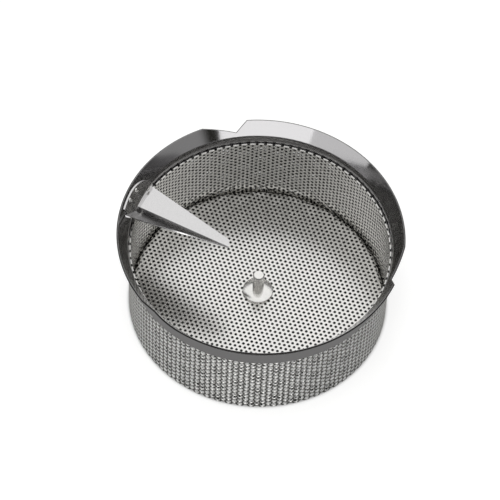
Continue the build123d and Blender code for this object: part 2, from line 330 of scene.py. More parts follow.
def steels():
    """The finishes, made once and then found by name."""
    finish = bpy.context.scene.sieve.finish
    recipes = {
        # Tinned sheet, punched and rolled: a soft even sheen
        "Tinned punched steel": (finish.punched, 0.25, 0.04, 0.6 * MM),
        # The same sheet where the walls touch, painted dark grey: painted shade for the gap between the
        # walls, seen behind the holes
        "Dull punched steel": (finish.dull, 0.60, 0.05, 0.6 * MM),
        # The face that a punch leaves inside a fine hole, painted near black: painted shade inside the holes
        "Raw punched edge": (finish.raw_edge_painted_shade, 0.60, 0.08, 0.3 * MM, (1, 1, 1), 0.10),
        # Plain sheet of the outer wall: a greyer sheen than the tinned sheet's
        "Plain punched steel": (finish.support, 0.25, 0.04, 0.6 * MM),
        # Tin that stays matte where nothing rubs it: pale holes in the greyer outer wall
        "Matte tinned steel": (finish.matte, 0.85, 0.05, 0.4 * MM),
        # The cut top of a wall, brushed smooth: a bright line broken by the cut holes
        "Sheared steel rim": (finish.punched, 0.50, 0.05, 0.6 * MM),
        # Cold-rolled sheet, left bright: sharper reflections with a faint streak
        "Bright rolled steel": (finish.ring, 0.10, 0.03, 1.5 * MM, (1, 1, 6), 0.05),
        # The ring's cut edge, painted dark: a painted shadow line round the mouth
        "Sheared edge, painted shadow line": (finish.cut_edge_painted_shade, 0.40, 0.05, 0.4 * MM),
        # Rolled sheet with a satin face: broad soft reflections
        "Satin rolled steel": (finish.blade, 0.12, 0.03, 0.8 * MM),
        # Lathe-turned bar: rings along the axis
        "Turned steel": (finish.turned, 0.22, 0.05, 0.5 * MM, (0.1, 0.1, 4), 0.10),
    }
    made = {}
    for name, recipe in recipes.items():
        made[name] = bpy.data.materials.get(name) or steel(name, *recipe)
    return made


# Meshes and pieces

# Edges with a wider angle between their faces show as sharp
SMOOTH_ANGLE = math.radians(40)
WALL_SMOOTH_ANGLE = math.radians(25)
BLADE_SMOOTH_ANGLE = math.radians(8)
PIN_SMOOTH_ANGLE = math.radians(30)
WASHER_SMOOTH_ANGLE = math.radians(50)


def new_piece(name, mesh, node, smooth_angle=SMOOTH_ANGLE):
    """Links a finished mesh as a piece that stands for a CAD node."""
    mesh.shade_smooth()
    mesh.set_sharp_from_angle(angle=smooth_angle)
    piece = bpy.data.objects.new(name, mesh)
    bpy.context.collection.objects.link(piece)
    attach(piece, BODY)
    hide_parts(node)


def finish_mesh(name, shape, *materials):
    """Turns a finished bmesh into a mesh with its materials."""
    mesh = bpy.data.meshes.new(name)
    shape.to_mesh(mesh)
    shape.free()
    for material in materials:
        mesh.materials.append(material)
    return mesh


def lathe_mesh(name, profile, segments, material):
    """A closed solid of revolution from (radius, height) points, listed anticlockwise in section."""
    shape = bmesh.new()
    rings = []
    for radius, height in profile:
        if radius == 0:
            rings.append([shape.verts.new((0, 0, height))])
            continue
        turn = [math.tau * step / segments for step in range(segments)]
        rings.append([shape.verts.new((radius * math.cos(a), radius * math.sin(a), height)) for a in turn])
    for lower, upper in zip(rings, rings[1:] + rings[:1]):
        for step in range(segments):
            after = (step + 1) % segments
            corners = [lower[step % len(lower)], lower[after % len(lower)],
                       upper[after % len(upper)], upper[step % len(upper)]]
            face = list(dict.fromkeys(corners))
            if len(face) > 2:
                shape.faces.new(face)
    bmesh.ops.recalc_face_normals(shape, faces=shape.faces)
    return finish_mesh(name, shape, material)


def run_tree(name, tree, values, seed_mesh=None):
    """Evaluates a geometry tree with its named inputs and returns the result as a plain mesh."""
    carrier = bpy.data.objects.new(name + "_maker", seed_mesh or bpy.data.meshes.new(name + "_seed"))
    bpy.context.collection.objects.link(carrier)
    modifier = carrier.modifiers.new("Maker", "NODES")
    modifier.node_group = tree
    sockets = {item.name: item.identifier for item in tree.interface.items_tree if item.in_out == "INPUT"}
    for label, value in values.items():
        modifier[sockets[label]] = value
    evaluated = carrier.evaluated_get(bpy.context.evaluated_depsgraph_get())
    mesh = bpy.data.meshes.new_from_object(evaluated)
    mesh.name = name
    carrier.modifiers.clear()
    bpy.data.objects.remove(carrier)
    return mesh


def new_tree(name, inputs):
    """An empty geometry tree with a geometry output and the named inputs."""
    tree = bpy.data.node_groups.new(name, "GeometryNodeTree")
    for label, kind in inputs.items():
        tree.interface.new_socket(label, in_out="INPUT", socket_type="NodeSocket" + kind)
    tree.interface.new_socket("Geometry", in_out="OUTPUT", socket_type="NodeSocketGeometry")
    first, last = tree.nodes.new("NodeGroupInput"), tree.nodes.new("NodeGroupOutput")
    return tree, first.outputs, last.inputs["Geometry"]


# Points this close are one
WELD_DISTANCE = 0.004 * MM


def weld(tree, geometry):
    """Adds a node that merges the points that meet."""
    return add_node(tree, "GeometryNodeMergeByDistance", {"Geometry": geometry, "Distance": WELD_DISTANCE})[0]


def move(tree, geometry, place):
    """Adds a node that moves a geometry's points to new places."""
    return add_node(tree, "GeometryNodeSetPosition", {"Geometry": geometry, "Position": place})[0]


def named_attribute(tree, name, kind):
    """Adds a node that reads an attribute of the geometry."""
    return add_node(tree, "GeometryNodeInputNamedAttribute", {"Name": name}, data_type=kind)["Attribute"]


def store_attribute(tree, geometry, name, kind, value):
    """Adds a node that writes an attribute on the geometry's points."""
    inputs = {"Geometry": geometry, "Name": name, "Value": value}
    return add_node(tree, "GeometryNodeStoreNamedAttribute", inputs, data_type=kind, domain="POINT")[0]


LATTICE_INPUTS = {
    "Columns": "Int", "Half rows": "Int", "Half sides": "Int",
    "Column width": "Float", "Half pitch": "Float", "Hole radius": "Float", "Lip width": "Float",
}
# Rows of points from a half cell's outline to its hole, and the lips' attributes
PLAIN_ROWS, LIPPED_ROWS = 2, 3
LIP_MARK, LIP_DROP = "past_lip", "lip_drop"


def punched_sheet_tree():
    """A flat sheet of staggered round holes, x across the columns and y along them.

    It is laid from half cells, each a rectangle with half a hole in one long side. Half cells turn
    round in a chequer pattern, so any edge can run through the middle of a hole.
    """
    tree, given, result = new_tree("Punched sheet", LATTICE_INPUTS | {"Rows": "Int"})

    # One half cell: rows of points on the cell's outline, perhaps a lip's start, and the hole's edge
    strip = add_node(tree, "GeometryNodeMeshGrid", {
        "Vertices X": calc(tree, "ADD", given["Half sides"], 1.0), "Vertices Y": given["Rows"],
    })["Mesh"]
    index = add_node(tree, "GeometryNodeInputIndex")[0]
    row_number = calc(tree, "MODULO", index, given["Rows"])
    on_hole = calc(tree, "MINIMUM", row_number, 1.0)
    past_lip = calc(tree, "SUBTRACT", row_number, on_hole)
    last_row = calc(tree, "SUBTRACT", given["Rows"], 1.0)
    rows_left = calc(tree, "SUBTRACT", last_row, row_number)
    radius = calc(tree, "MULTIPLY_ADD", rows_left, given["Lip width"], given["Hole radius"])
    step = calc(tree, "FLOOR", calc(tree, "DIVIDE", index, given["Rows"]))
    along = calc(tree, "DIVIDE", step, given["Half sides"])
    angle = calc(tree, "MULTIPLY", along, math.pi)
    circle = combine(tree, X=calc(tree, "COSINE", angle), Y=calc(tree, "SINE", angle))
    hole_edge = vector_calc(tree, "SCALE", circle, Scale=radius)
    # The outline goes up one side in the first step, across in the middle steps and down in the last
    corner = calc(tree, "DIVIDE", 1.0, given["Half sides"])
    last_corner = calc(tree, "SUBTRACT", 1.0, corner)
    half_width = calc(tree, "MULTIPLY", given["Column width"], 0.5)
    across = map_range(tree, along, corner, last_corner, half_width, calc(tree, "MULTIPLY", half_width, -1.0))
    nearer_end = calc(tree, "MINIMUM", along, calc(tree, "SUBTRACT", 1.0, along))
    rise = map_range(tree, nearer_end, 0.0, corner, 0.0, given["Half pitch"])
    cell_point = add_node(tree, "ShaderNodeMix", {
        "Factor": on_hole, 4: combine(tree, X=across, Y=rise), 5: hole_edge,
    }, data_type="VECTOR")[1]
    half_cell = move(tree, store_attribute(tree, strip, LIP_MARK, "FLOAT", past_lip), cell_point)

    # The chequer of half cells
    chequer = add_node(tree, "GeometryNodeMeshGrid", {
        "Vertices X": given["Columns"], "Vertices Y": given["Half rows"],
    })["Mesh"]
    row = calc(tree, "MODULO", index, given["Half rows"])
    column = calc(tree, "FLOOR", calc(tree, "DIVIDE", index, given["Half rows"]))
    turned_round = calc(tree, "MODULO", calc(tree, "ADD", row, column), 2.0)
    level = calc(tree, "ADD", row, turned_round)
    cell_place = combine(
        tree,
        X=calc(tree, "MULTIPLY", column, given["Column width"]),
        Y=calc(tree, "MULTIPLY", level, given["Half pitch"]),
    )
    cells = add_node(tree, "GeometryNodeInstanceOnPoints", {
        "Points": move(tree, chequer, cell_place),
        "Instance": half_cell,
        "Rotation": combine(tree, Z=calc(tree, "MULTIPLY", turned_round, math.pi)),
    })[0]
    sheet = add_node(tree, "GeometryNodeRealizeInstances", {"Geometry": cells})[0]
    tree.links.new(weld(tree, sheet), result)


SHEET_INPUTS = {
    "Thickness": "Float", "Lip depth": "Float", "Near material": "Material", "Far material": "Material",
    "Lip material": "Material", "Edge material": "Material", "Rim material": "Material",
}
# A side that faces up this much is rim, a face marked this much is lip, and nothing goes below the table
LEVEL_EDGE = math.cos(math.radians(10))
LIP_LEVEL = 0.25
LOWEST_PLACE = (-1, -1, 0)


def thicken(tree, near_sheet, far_sheet, given, result):
    """Gives a sheet its thickness on the far side, coats its sides, holes and rim, and ends the tree."""
    lip = named_attribute(tree, LIP_MARK, "FLOAT")
    lift = calc(tree, "MULTIPLY", calc(tree, "MULTIPLY", lip, given["Lip depth"]), -1.0)
    normal = add_node(tree, "GeometryNodeInputNormal")[0]
    inwards = vector_calc(tree, "SCALE", normal, Scale=lift)
    far_side = add_node(tree, "GeometryNodeExtrudeMesh", {
        "Mesh": store_attribute(tree, far_sheet, LIP_DROP, "FLOAT_VECTOR", inwards),
        "Offset Scale": given["Thickness"], "Individual": False,
    }, mode="FACES")
    lipped = add_node(tree, "GeometryNodeSetPosition", {
        "Geometry": far_side["Mesh"], "Selection": far_side["Top"],
        "Offset": named_attribute(tree, LIP_DROP, "FLOAT_VECTOR"),
    })[0]
    near_side = add_node(tree, "GeometryNodeFlipFaces", {"Mesh": near_sheet})[0]
    both = tree.nodes.new("GeometryNodeJoinGeometry")
    for side in (near_side, lipped):
        tree.links.new(side, both.inputs[0])
    plain = add_node(tree, "GeometryNodeRealizeInstances", {"Geometry": weld(tree, both.outputs[0])})[0]
    place = add_node(tree, "GeometryNodeInputPosition")[0]
    sheet = move(tree, plain, vector_calc(tree, "MAXIMUM", place, LOWEST_PLACE))
    facing = add_node(tree, "ShaderNodeSeparateXYZ", {0: normal})["Z"]
    upright = add_node(tree, "FunctionNodeCompare", {0: facing, 1: LEVEL_EDGE}, operation="LESS_THAN")[0]
    in_hole = add_node(tree, "FunctionNodeBooleanMath", {0: far_side["Side"], 1: upright}, operation="AND")[0]
    part_lip = add_node(tree, "FunctionNodeCompare", {0: lip, 1: LIP_LEVEL}, operation="GREATER_THAN")[0]
    on_lip = add_node(tree, "FunctionNodeBooleanMath", {0: far_side["Top"], 1: part_lip}, operation="AND")[0]
    layers = (
        (True, "Near material"),
        (far_side["Top"], "Far material"),
        (on_lip, "Lip material"),
        (far_side["Side"], "Rim material"),
        (in_hole, "Edge material"),
    )
    for selection, label in layers:
        sheet = add_node(tree, "GeometryNodeSetMaterial", {
            "Geometry": sheet, "Selection": selection, "Material": given[label],
        })[0]
    for mark in (LIP_MARK, LIP_DROP):
        sheet = add_node(tree, "GeometryNodeRemoveAttribute", {"Geometry": sheet, "Name": mark})[0]
    tree.links.new(sheet, result)


def lattice_group(tree, given, rows):
    """The punched sheet, with this tree's own lattice inputs passed on."""
    inputs = {label: given[label] for label in LATTICE_INPUTS} | {"Rows": rows}
    return add_node(tree, "GeometryNodeGroup", inputs, node_tree=bpy.data.node_groups["Punched sheet"])[0]


def rolled_wall_tree():
    """The punched sheet rolled into a tube round the basket's axis."""
    own_inputs = {"Radius": "Float", "Start": "Float", "Far rows": "Int"}
    tree, given, result = new_tree("Rolled wall", LATTICE_INPUTS | own_inputs | SHEET_INPUTS)
    position = add_node(tree, "GeometryNodeInputPosition")[0]
    place = add_node(tree, "ShaderNodeSeparateXYZ", {0: position})
    length = calc(tree, "MULTIPLY", given["Columns"], given["Column width"])
    share = calc(tree, "DIVIDE", place["X"], length)
    turn = calc(tree, "MULTIPLY_ADD", share, math.tau, given["Start"])
    on_circle = combine(
        tree,
        X=calc(tree, "MULTIPLY", calc(tree, "COSINE", turn), given["Radius"]),
        Y=calc(tree, "MULTIPLY", calc(tree, "SINE", turn), given["Radius"]),
        Z=place["Y"],
    )
    sides = []
    for rows in (PLAIN_ROWS, given["Far rows"]):
        flat = lattice_group(tree, given, rows)
        sides.append(weld(tree, move(tree, flat, on_circle)))
    thicken(tree, *sides, given, result)
    return tree


def formed_floor_tree():
    """The punched sheet cut round and pressed into a shallow pan with a turned-down edge."""
    own_inputs = {
        "Centre": "Vector", "Row azimuth": "Float", "Flat radius": "Float", "Corner radius": "Float",
        "Blank radius": "Float", "Top": "Float",
    }
    tree, given, result = new_tree("Formed floor", LATTICE_INPUTS | own_inputs | SHEET_INPUTS)
    flat = lattice_group(tree, given, PLAIN_ROWS)
    position = add_node(tree, "GeometryNodeInputPosition")[0]
    blank_place = add_node(tree, "ShaderNodeVectorRotate", {
        "Vector": vector_calc(tree, "SUBTRACT", position, given["Centre"]),
        "Angle": calc(tree, "SUBTRACT", given["Row azimuth"], math.pi / 2),
    }, rotation_type="Z_AXIS")[0]
    reach = vector_calc(tree, "LENGTH", blank_place)
    outward = vector_calc(tree, "NORMALIZE", blank_place)
    blank = calc(tree, "MINIMUM", reach, given["Blank radius"])

    # From the middle of the blank outwards: flat, then round the corner, then down the edge
    flat_part = calc(tree, "MINIMUM", blank, given["Flat radius"])
    beyond = calc(tree, "SUBTRACT", blank, flat_part)
    corner_turn = calc(tree, "DIVIDE", beyond, given["Corner radius"])
    bend = calc(tree, "MINIMUM", corner_turn, math.pi / 2)
    past_bend = calc(tree, "SUBTRACT", corner_turn, bend)
    radius = calc(tree, "MULTIPLY_ADD", calc(tree, "SINE", bend), given["Corner radius"], flat_part)
    corner_drop = calc(tree, "SUBTRACT", calc(tree, "COSINE", bend), 1.0)
    drop = calc(tree, "SUBTRACT", corner_drop, past_bend)
    height = calc(tree, "MULTIPLY_ADD", drop, given["Corner radius"], given["Top"])
    ring_place = vector_calc(tree, "SCALE", outward, Scale=radius)
    pressed_place = vector_calc(tree, "ADD", ring_place, combine(tree, Z=height))
    # Faces with every corner beyond the blank fall away before the pressing
    beyond_blank = add_node(tree, "FunctionNodeCompare", {
        0: reach, 1: given["Blank radius"],
    }, operation="GREATER_EQUAL")[0]
    waste = add_node(tree, "GeometryNodeFieldOnDomain", {
        "Value": beyond_blank,
    }, data_type="BOOLEAN", domain="POINT")[0]
    trimmed = add_node(tree, "GeometryNodeDeleteGeometry", {
        "Geometry": flat, "Selection": waste,
    }, domain="FACE")[0]
    pressed = weld(tree, move(tree, trimmed, pressed_place))
    underside = add_node(tree, "GeometryNodeFlipFaces", {"Mesh": pressed})[0]
    thicken(tree, underside, underside, given, result)
    return tree


def set_rivets_tree():
    """Rivets set on points, each turned to face the way that its point names."""
    tree, given, result = new_tree("Set rivets", {
        "Places": "Geometry", "Rivet": "Object", "Material": "Material",
    })
    facing = named_attribute(tree, "facing", "FLOAT_VECTOR")
    turn = add_node(tree, "FunctionNodeAlignRotationToVector", {"Vector": facing}, axis="Z")[0]
    rivet = add_node(tree, "GeometryNodeObjectInfo", {"Object": given["Rivet"]})["Geometry"]
    placed = add_node(tree, "GeometryNodeInstanceOnPoints", {
        "Points": given["Places"], "Instance": rivet, "Rotation": turn,
    })[0]
    plain = add_node(tree, "GeometryNodeRealizeInstances", {"Geometry": placed})[0]
    coat = add_node(tree, "GeometryNodeSetMaterial", {"Geometry": plain, "Material": given["Material"]})[0]
    tree.links.new(coat, result)
    return tree


def coats(near, far, edge):
    """The materials of a punched sheet, named for its two sides and the edges of its holes."""
    made = steels()
    return {
        "Near material": made[near],
        "Far material": made[far],
        "Edge material": made[edge],
        "Lip material": made["Tinned punched steel"],
        "Rim material": made["Sheared steel rim"],
    }


def hole_values(hole, pitch, half_sides):
    """The lattice inputs that follow from a hole's size: a polygon with the same area as the round hole."""
    sides = 2 * half_sides
    same_area = math.sqrt(math.tau / (sides * math.sin(math.tau / sides)))
    return {"Hole radius": hole / 2 * same_area, "Half sides": half_sides, "Half pitch": pitch / 2}


# The pressed floor keeps this far from the wall
FLOOR_GAP = 0.05 * MM


class SIEVE_OT_floor(bpy.types.Operator):
    """Presses the punched floor"""

    bl_idname = "sieve.floor"
    bl_label = "Punched floor"

    half_sides: count_property("Half sides", "Sides of half a hole", 5, 4)

    def execute(self, context):
        sheet = context.scene.sieve.perforation
        corner = sheet.corner_radius
        flat_radius = FLOOR_RADIUS - FLOOR_GAP - corner
        blank_radius = flat_radius + corner * math.pi / 2 + FLOOR_TOP - corner
        width = sheet.fine_pitch * math.sqrt(3) / 2
        middle_column = math.ceil(blank_radius / width) + 1
        middle_row = 2 * math.ceil(blank_radius / sheet.fine_pitch) + 2 + middle_column % 2
        centre = Vector((middle_column * width, middle_row * sheet.fine_pitch / 2, 0))
        centre -= Vector((*sheet.row_phase, 0))
        mesh = run_tree("sieve_floor_sheet", formed_floor_tree(), {
            "Columns": 2 * middle_column + 1,
            "Half rows": 2 * middle_row,
            "Column width": width,
            **hole_values(sheet.fine_hole, sheet.fine_pitch, self.half_sides),
            "Centre": centre,
            "Row azimuth": sheet.row_azimuth,
            "Flat radius": flat_radius,
            "Corner radius": corner,
            "Blank radius": blank_radius,
            "Top": FLOOR_TOP,
            "Thickness": sheet.thickness,
            # The sides of the floor's holes take painted shade, near black
            **coats("Tinned punched steel", "Tinned punched steel", "Raw punched edge"),
        })
        new_piece("sieve_floor_sheet", mesh, "sieve_floor")
        return {"FINISHED"}


class SIEVE_OT_walls(bpy.types.Operator):
    """Rolls the fine inner wall and the coarse outer wall"""

    bl_idname = "sieve.walls"
    bl_label = "Double wall"

    fine_half_sides: count_property("Fine half sides", "Sides of half a fine hole", 4, 4)
    coarse_half_sides: count_property("Coarse half sides", "Sides of half a coarse hole", 6, 4)

    def execute(self, context):
        sheet = context.scene.sieve.perforation
        tree = rolled_wall_tree()
        strips = (
            # The sides of the fine holes take painted shade, near black
            ("sieve_wall_sheet", "sieve_wall", sheet.fine_columns, sheet.fine_hole,
             sheet.fine_pitch, self.fine_half_sides, SIEVE_OUTER, SIEVE_TOP, 0.0, PLAIN_ROWS,
             "Tinned punched steel", "Matte tinned steel", "Raw punched edge"),
            # The outer wall's inner face takes the painted gap shade, dark grey
            ("support_wall_sheet", "support_wall", sheet.coarse_columns, sheet.coarse_hole,
             sheet.coarse_pitch, self.coarse_half_sides, SUPPORT_OUTER, SUPPORT_TOP, sheet.coarse_turn,
             LIPPED_ROWS, "Dull punched steel", "Plain punched steel", "Matte tinned steel"),
        )
        for name, node, columns, hole, pitch, half_sides, outer, top, start, far_rows, *coating in strips:
            half_rows = round(2 * top / pitch)
            inner = outer - sheet.thickness
            mesh = run_tree(name, tree, {
                "Columns": columns,
                "Half rows": half_rows,
                "Column width": math.tau * outer / columns,
                **hole_values(hole, 2 * top / half_rows, half_sides),
                "Radius": inner,
                "Start": start,
                "Far rows": far_rows,
                "Thickness": sheet.thickness,
                "Lip width": sheet.lip_width,
                "Lip depth": sheet.lip_depth,
                **coats(*coating),
            })
            shape = bmesh.new()
            shape.from_mesh(mesh)
            # Where an edge cuts a lipped hole, the near side has no corner for the lip's start
            border = [vertex for vertex in shape.verts if vertex.is_boundary]
            bmesh.ops.remove_doubles(shape, verts=border, dist=sheet.lip_width / 2)
            # The shears leave the cut top sloping inwards
            for vertex in shape.verts:
                across = vertex.co.xy.length
                if vertex.co.z > top - sheet.rim_slope and across < outer - sheet.thickness / 2:
                    vertex.co.z -= sheet.rim_slope
            shape.to_mesh(mesh)
            shape.free()
            new_piece(name, mesh, node, WALL_SMOOTH_ANGLE)
        return {"FINISHED"}


# Digits that tell two angles apart, and rounds that find the radius of a notched edge
ANGLE_DIGITS = 9
EDGE_ROUNDS = 4


class SIEVE_OT_ring(bpy.types.Operator):
    """Forms the flared ring with its cam notches"""

    bl_idname = "sieve.ring"
    bl_label = "Flared ring"

    columns: count_property("Columns", "Faces round the ring", 480, 60)
    bend_steps: count_property("Bend steps", "Faces round the bend", 8, 2)

    def notch_angles(self, ring):
        """Angles of every notch's two upper corners and lowest point."""
        reach = ring.lip_radius - ring.thickness / 2
        ramp = math.asin(ring.lip_radius * math.sin(ring.notch_ramp) / reach)
        step = math.asin(ring.lip_radius * math.sin(ring.notch_step) / reach)
        starts = [ring.notch_azimuth + math.tau * k / ring.notch_count for k in range(ring.notch_count)]
        return [(start - step, start, start + ramp) for start in starts]

    def edge_height(self, ring, angle, radius):
        """Height of the cut edge at an angle and radius."""
        ramp = ring.lip_radius * math.sin(ring.notch_ramp)
        step = ring.lip_radius * math.sin(ring.notch_step)
        height = ring.lip_height
        for low, middle, high in self.notch_angles(ring):
            offset = (angle - middle + math.pi) % math.tau - math.pi
            if low - middle <= offset <= high - middle:
                along = radius * math.sin(offset)
                share = along / ramp if along > 0 else -along / step
                height = ring.notch_floor + share * (ring.lip_height - ring.notch_floor)
        return min(height, ring.lip_height)

    def section(self, ring, angle, edge):
        """The ring's section at an angle, as (radius, height) points up the inside and down the outside."""
        half = ring.thickness / 2
        band = SUPPORT_OUTER + half
        run = ring.lip_radius - half - band
        rise = ring.lip_height - ring.bend_height
        lean = math.atan2(run, rise)
        tangent = ring.bend_radius * math.tan(lean / 2)
        radius = ring.lip_radius - half
        for _ in range(EDGE_ROUNDS):
            height = self.edge_height(ring, angle, radius)
            radius = band + (height - ring.bend_height) * math.tan(lean)
        length = (height - ring.bend_height) / math.cos(lean)
        centre = Vector((band + ring.bend_radius, ring.bend_height - tangent))
        points = [(Vector((band, BAND_BOTTOM)), 0.0)]
        for step in range(self.bend_steps + 1):
            turn = lean * step / self.bend_steps
            arm = Vector((-math.cos(turn), math.sin(turn))) * ring.bend_radius
            points.append((centre + arm, turn))
        corner = Vector((band, ring.bend_height))
        slope = Vector((math.sin(lean), math.cos(lean)))
        points.append((corner + slope * (length - edge), lean))
        inside = [middle + Vector((-math.cos(turn), math.sin(turn))) * half for middle, turn in points]
        outside = [middle - Vector((-math.cos(turn), math.sin(turn))) * half for middle, turn in points]
        across = Vector((-math.cos(lean), math.sin(lean))) * (half - edge)
        tip = corner + slope * length
        return inside + [tip + across, tip - across] + outside[::-1]

    def execute(self, context):
        ring = context.scene.sieve.ring
        edge = context.scene.sieve.fittings.edge_round
        angles = {round(math.tau * step / self.columns, ANGLE_DIGITS) for step in range(self.columns)}
        notches = self.notch_angles(ring)
        corners = {round(angle % math.tau, ANGLE_DIGITS) for notch in notches for angle in notch}
        near = math.tau / self.columns / 3
        angles = {a for a in angles if all(abs(a - c) > near for c in corners)} | corners
        shape = bmesh.new()
        loops = []
        for angle in sorted(angles):
            section = self.section(ring, angle, edge)
            loops.append([shape.verts.new((r * math.cos(angle), r * math.sin(angle), z)) for r, z in section])
        count = len(loops[0])
        # The two faces across the cut edge take the painted shadow line
        cut_edge_painted_shade = (count // 2 - 1, count // 2)
        for loop, after in zip(loops, loops[1:] + loops[:1]):
            for k in range(count):
                face = shape.faces.new((loop[k], loop[(k + 1) % count], after[(k + 1) % count], after[k]))
                face.material_index = int(k in cut_edge_painted_shade)
        bmesh.ops.recalc_face_normals(shape, faces=shape.faces)
        coated = steels()["Bright rolled steel"], steels()["Sheared edge, painted shadow line"]
        mesh = finish_mesh("flared_ring", shape, *coated)
        new_piece("flared_ring", mesh, "rim_ring")
        return {"FINISHED"}


# What counts on the blade's solid as one point, as flat and as a cut edge
BLADE_WELD = 0.001 * MM
FLAT_ANGLE, CUT_ANGLE = math.radians(1), math.radians(50)
EDGE_SEGMENTS = 3


class SIEVE_OT_blade(bpy.types.Operator):
    """Finishes the folded blade with broken edges"""

    bl_idname = "sieve.blade"
    bl_label = "Deflector blade"

    def execute(self, context):
        shape = bmesh.new()
        shape.from_mesh(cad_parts["deflector_blade"].data)
        bmesh.ops.remove_doubles(shape, verts=shape.verts, dist=BLADE_WELD)
        bmesh.ops.dissolve_limit(shape, angle_limit=FLAT_ANGLE, verts=shape.verts, edges=shape.edges)
        sharp = [edge for edge in shape.edges if edge.calc_face_angle() > CUT_ANGLE]
        bmesh.ops.bevel(
            shape, geom=sharp, offset=context.scene.sieve.fittings.blade_edge, segments=EDGE_SEGMENTS,
            profile=0.5, affect="EDGES", clamp_overlap=True,
        )
        mesh = finish_mesh("deflector_blade_sheet", shape, steels()["Satin rolled steel"])
        new_piece("deflector_blade_sheet", mesh, "deflector_blade", BLADE_SMOOTH_ANGLE)
        return {"FINISHED"}


class SIEVE_OT_rivets(bpy.types.Operator):
    """Sets the domed rivets that hold the blade's tab"""

    bl_idname = "sieve.rivets"
    bl_label = "Rivets"

    segments: count_property("Segments", "Faces round a rivet", 24, 8)
    dome_steps: count_property("Dome steps", "Faces over half a rivet's head", 5, 2)

    def execute(self, context):
        ring, fittings = context.scene.sieve.ring, context.scene.sieve.fittings
        half = ring.thickness / 2
        run, rise = ring.lip_radius - SUPPORT_OUTER - ring.thickness, ring.lip_height - ring.bend_height
        lean_over = math.atan2(run, rise)
        seed = bpy.data.meshes.new("rivet_places")
        seed.vertices.add(len(fittings.rivet_heights))
        facing = seed.attributes.new("facing", "FLOAT_VECTOR", "POINT")
        for index, (azimuth, height) in enumerate(zip(fittings.rivet_azimuths, fittings.rivet_heights)):
            lean = lean_over if height > ring.bend_height else 0.0
            middle = SUPPORT_OUTER + half + max(0.0, height - ring.bend_height) * math.tan(lean)
            across = middle - half / math.cos(lean)
            outward, up = Vector((math.cos(azimuth), math.sin(azimuth), 0)), Vector((0, 0, 1))
            inward = math.sin(lean) * up - math.cos(lean) * outward
            on_ring = across * outward + height * up
            seed.vertices[index].co = on_ring + inward * fittings.blade_thickness
            facing.data[index].vector = inward

        tail = -(fittings.blade_thickness + ring.thickness + fittings.edge_round / 2)
        dome = []
        for step in range(self.dome_steps + 1):
            turn = math.pi / 2 * step / self.dome_steps
            dome.append((fittings.rivet_radius * math.cos(turn), fittings.rivet_height * math.sin(turn)))
        dome[-1] = (0, fittings.rivet_height)
        shank = fittings.shank_radius
        profile = [(0, tail), (shank, tail), (shank, 0), *dome]
        material = steels()["Turned steel"]
        rivet = bpy.data.objects.new("rivet", lathe_mesh("rivet", profile, self.segments, material))
        context.collection.objects.link(rivet)
        mesh = run_tree("tab_rivets", set_rivets_tree(), {"Rivet": rivet, "Material": material}, seed)
        bpy.data.objects.remove(rivet)
        new_piece("tab_rivets", mesh, "blade_rivets")
        return {"FINISHED"}


# The pin's thinner end, which goes through the washers and the floor
TENON_SHARE = 0.75


class SIEVE_OT_fittings(bpy.types.Operator):
    """Turns the centre pin and its washers"""

    bl_idname = "sieve.fittings"
    bl_label = "Pin and washers"

    segments: count_property("Segments", "Faces round a turned part", 96, 12)

    def execute(self, context):
        fittings = context.scene.sieve.fittings
        edge = fittings.edge_round
        radius, chamfer = fittings.pin_radius, fittings.pin_chamfer
        tenon = TENON_SHARE * radius
        peened_bottom, peened_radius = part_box("centre_pin")[0].z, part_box("centre_pin")[1].x
        material = steels()["Turned steel"]
        pin = (
            (0, peened_bottom), (tenon, peened_bottom), (peened_radius, BACKING_BOTTOM),
            (tenon, BACKING_BOTTOM), (tenon, WASHER_TOP), (radius, WASHER_TOP),
            (radius, PIN_TOP - chamfer), (radius - chamfer, PIN_TOP), (0, PIN_TOP),
        )
        mesh = lathe_mesh("crank_pin", pin, self.segments, material)
        new_piece("crank_pin", mesh, "centre_pin", PIN_SMOOTH_ANGLE)
        washers = (
            ("pin_washer_ring", "pin_washer", WASHER_RADIUS, FLOOR_TOP, WASHER_TOP),
            ("backing_washer_ring", "backing_washer", BACKING_RADIUS, BACKING_BOTTOM, BACKING_TOP),
        )
        for name, node, outer, bottom, top in washers:
            profile = (
                (tenon, bottom), (outer - edge, bottom), (outer, bottom + edge), (outer, top - 2 * edge),
                (outer - 2 * edge, top), (tenon, top),
            )
            mesh = lathe_mesh(name, profile, self.segments, material)
            new_piece(name, mesh, node, WASHER_SMOOTH_ANGLE)
        return {"FINISHED"}


# The paper's width, the ways from the basket to the bright parts of the room and where these fade out
PAPER_SIZE = 12.0
CEILING_WAY, CEILING_FADE, HORIZON_FADE = (0, 0.45, 0.89), (-0.05, 0.95), (0.05, 0.40)
WALL_WAY, WALL_FADE, WALL_LEVEL = (0.866, -0.5, 0), (0.92, 0.97), 0.50
# The camera's sensor in millimetres and its farthest sight in metres
SENSOR_WIDTH, CLIP_END = 36.0, 20.0


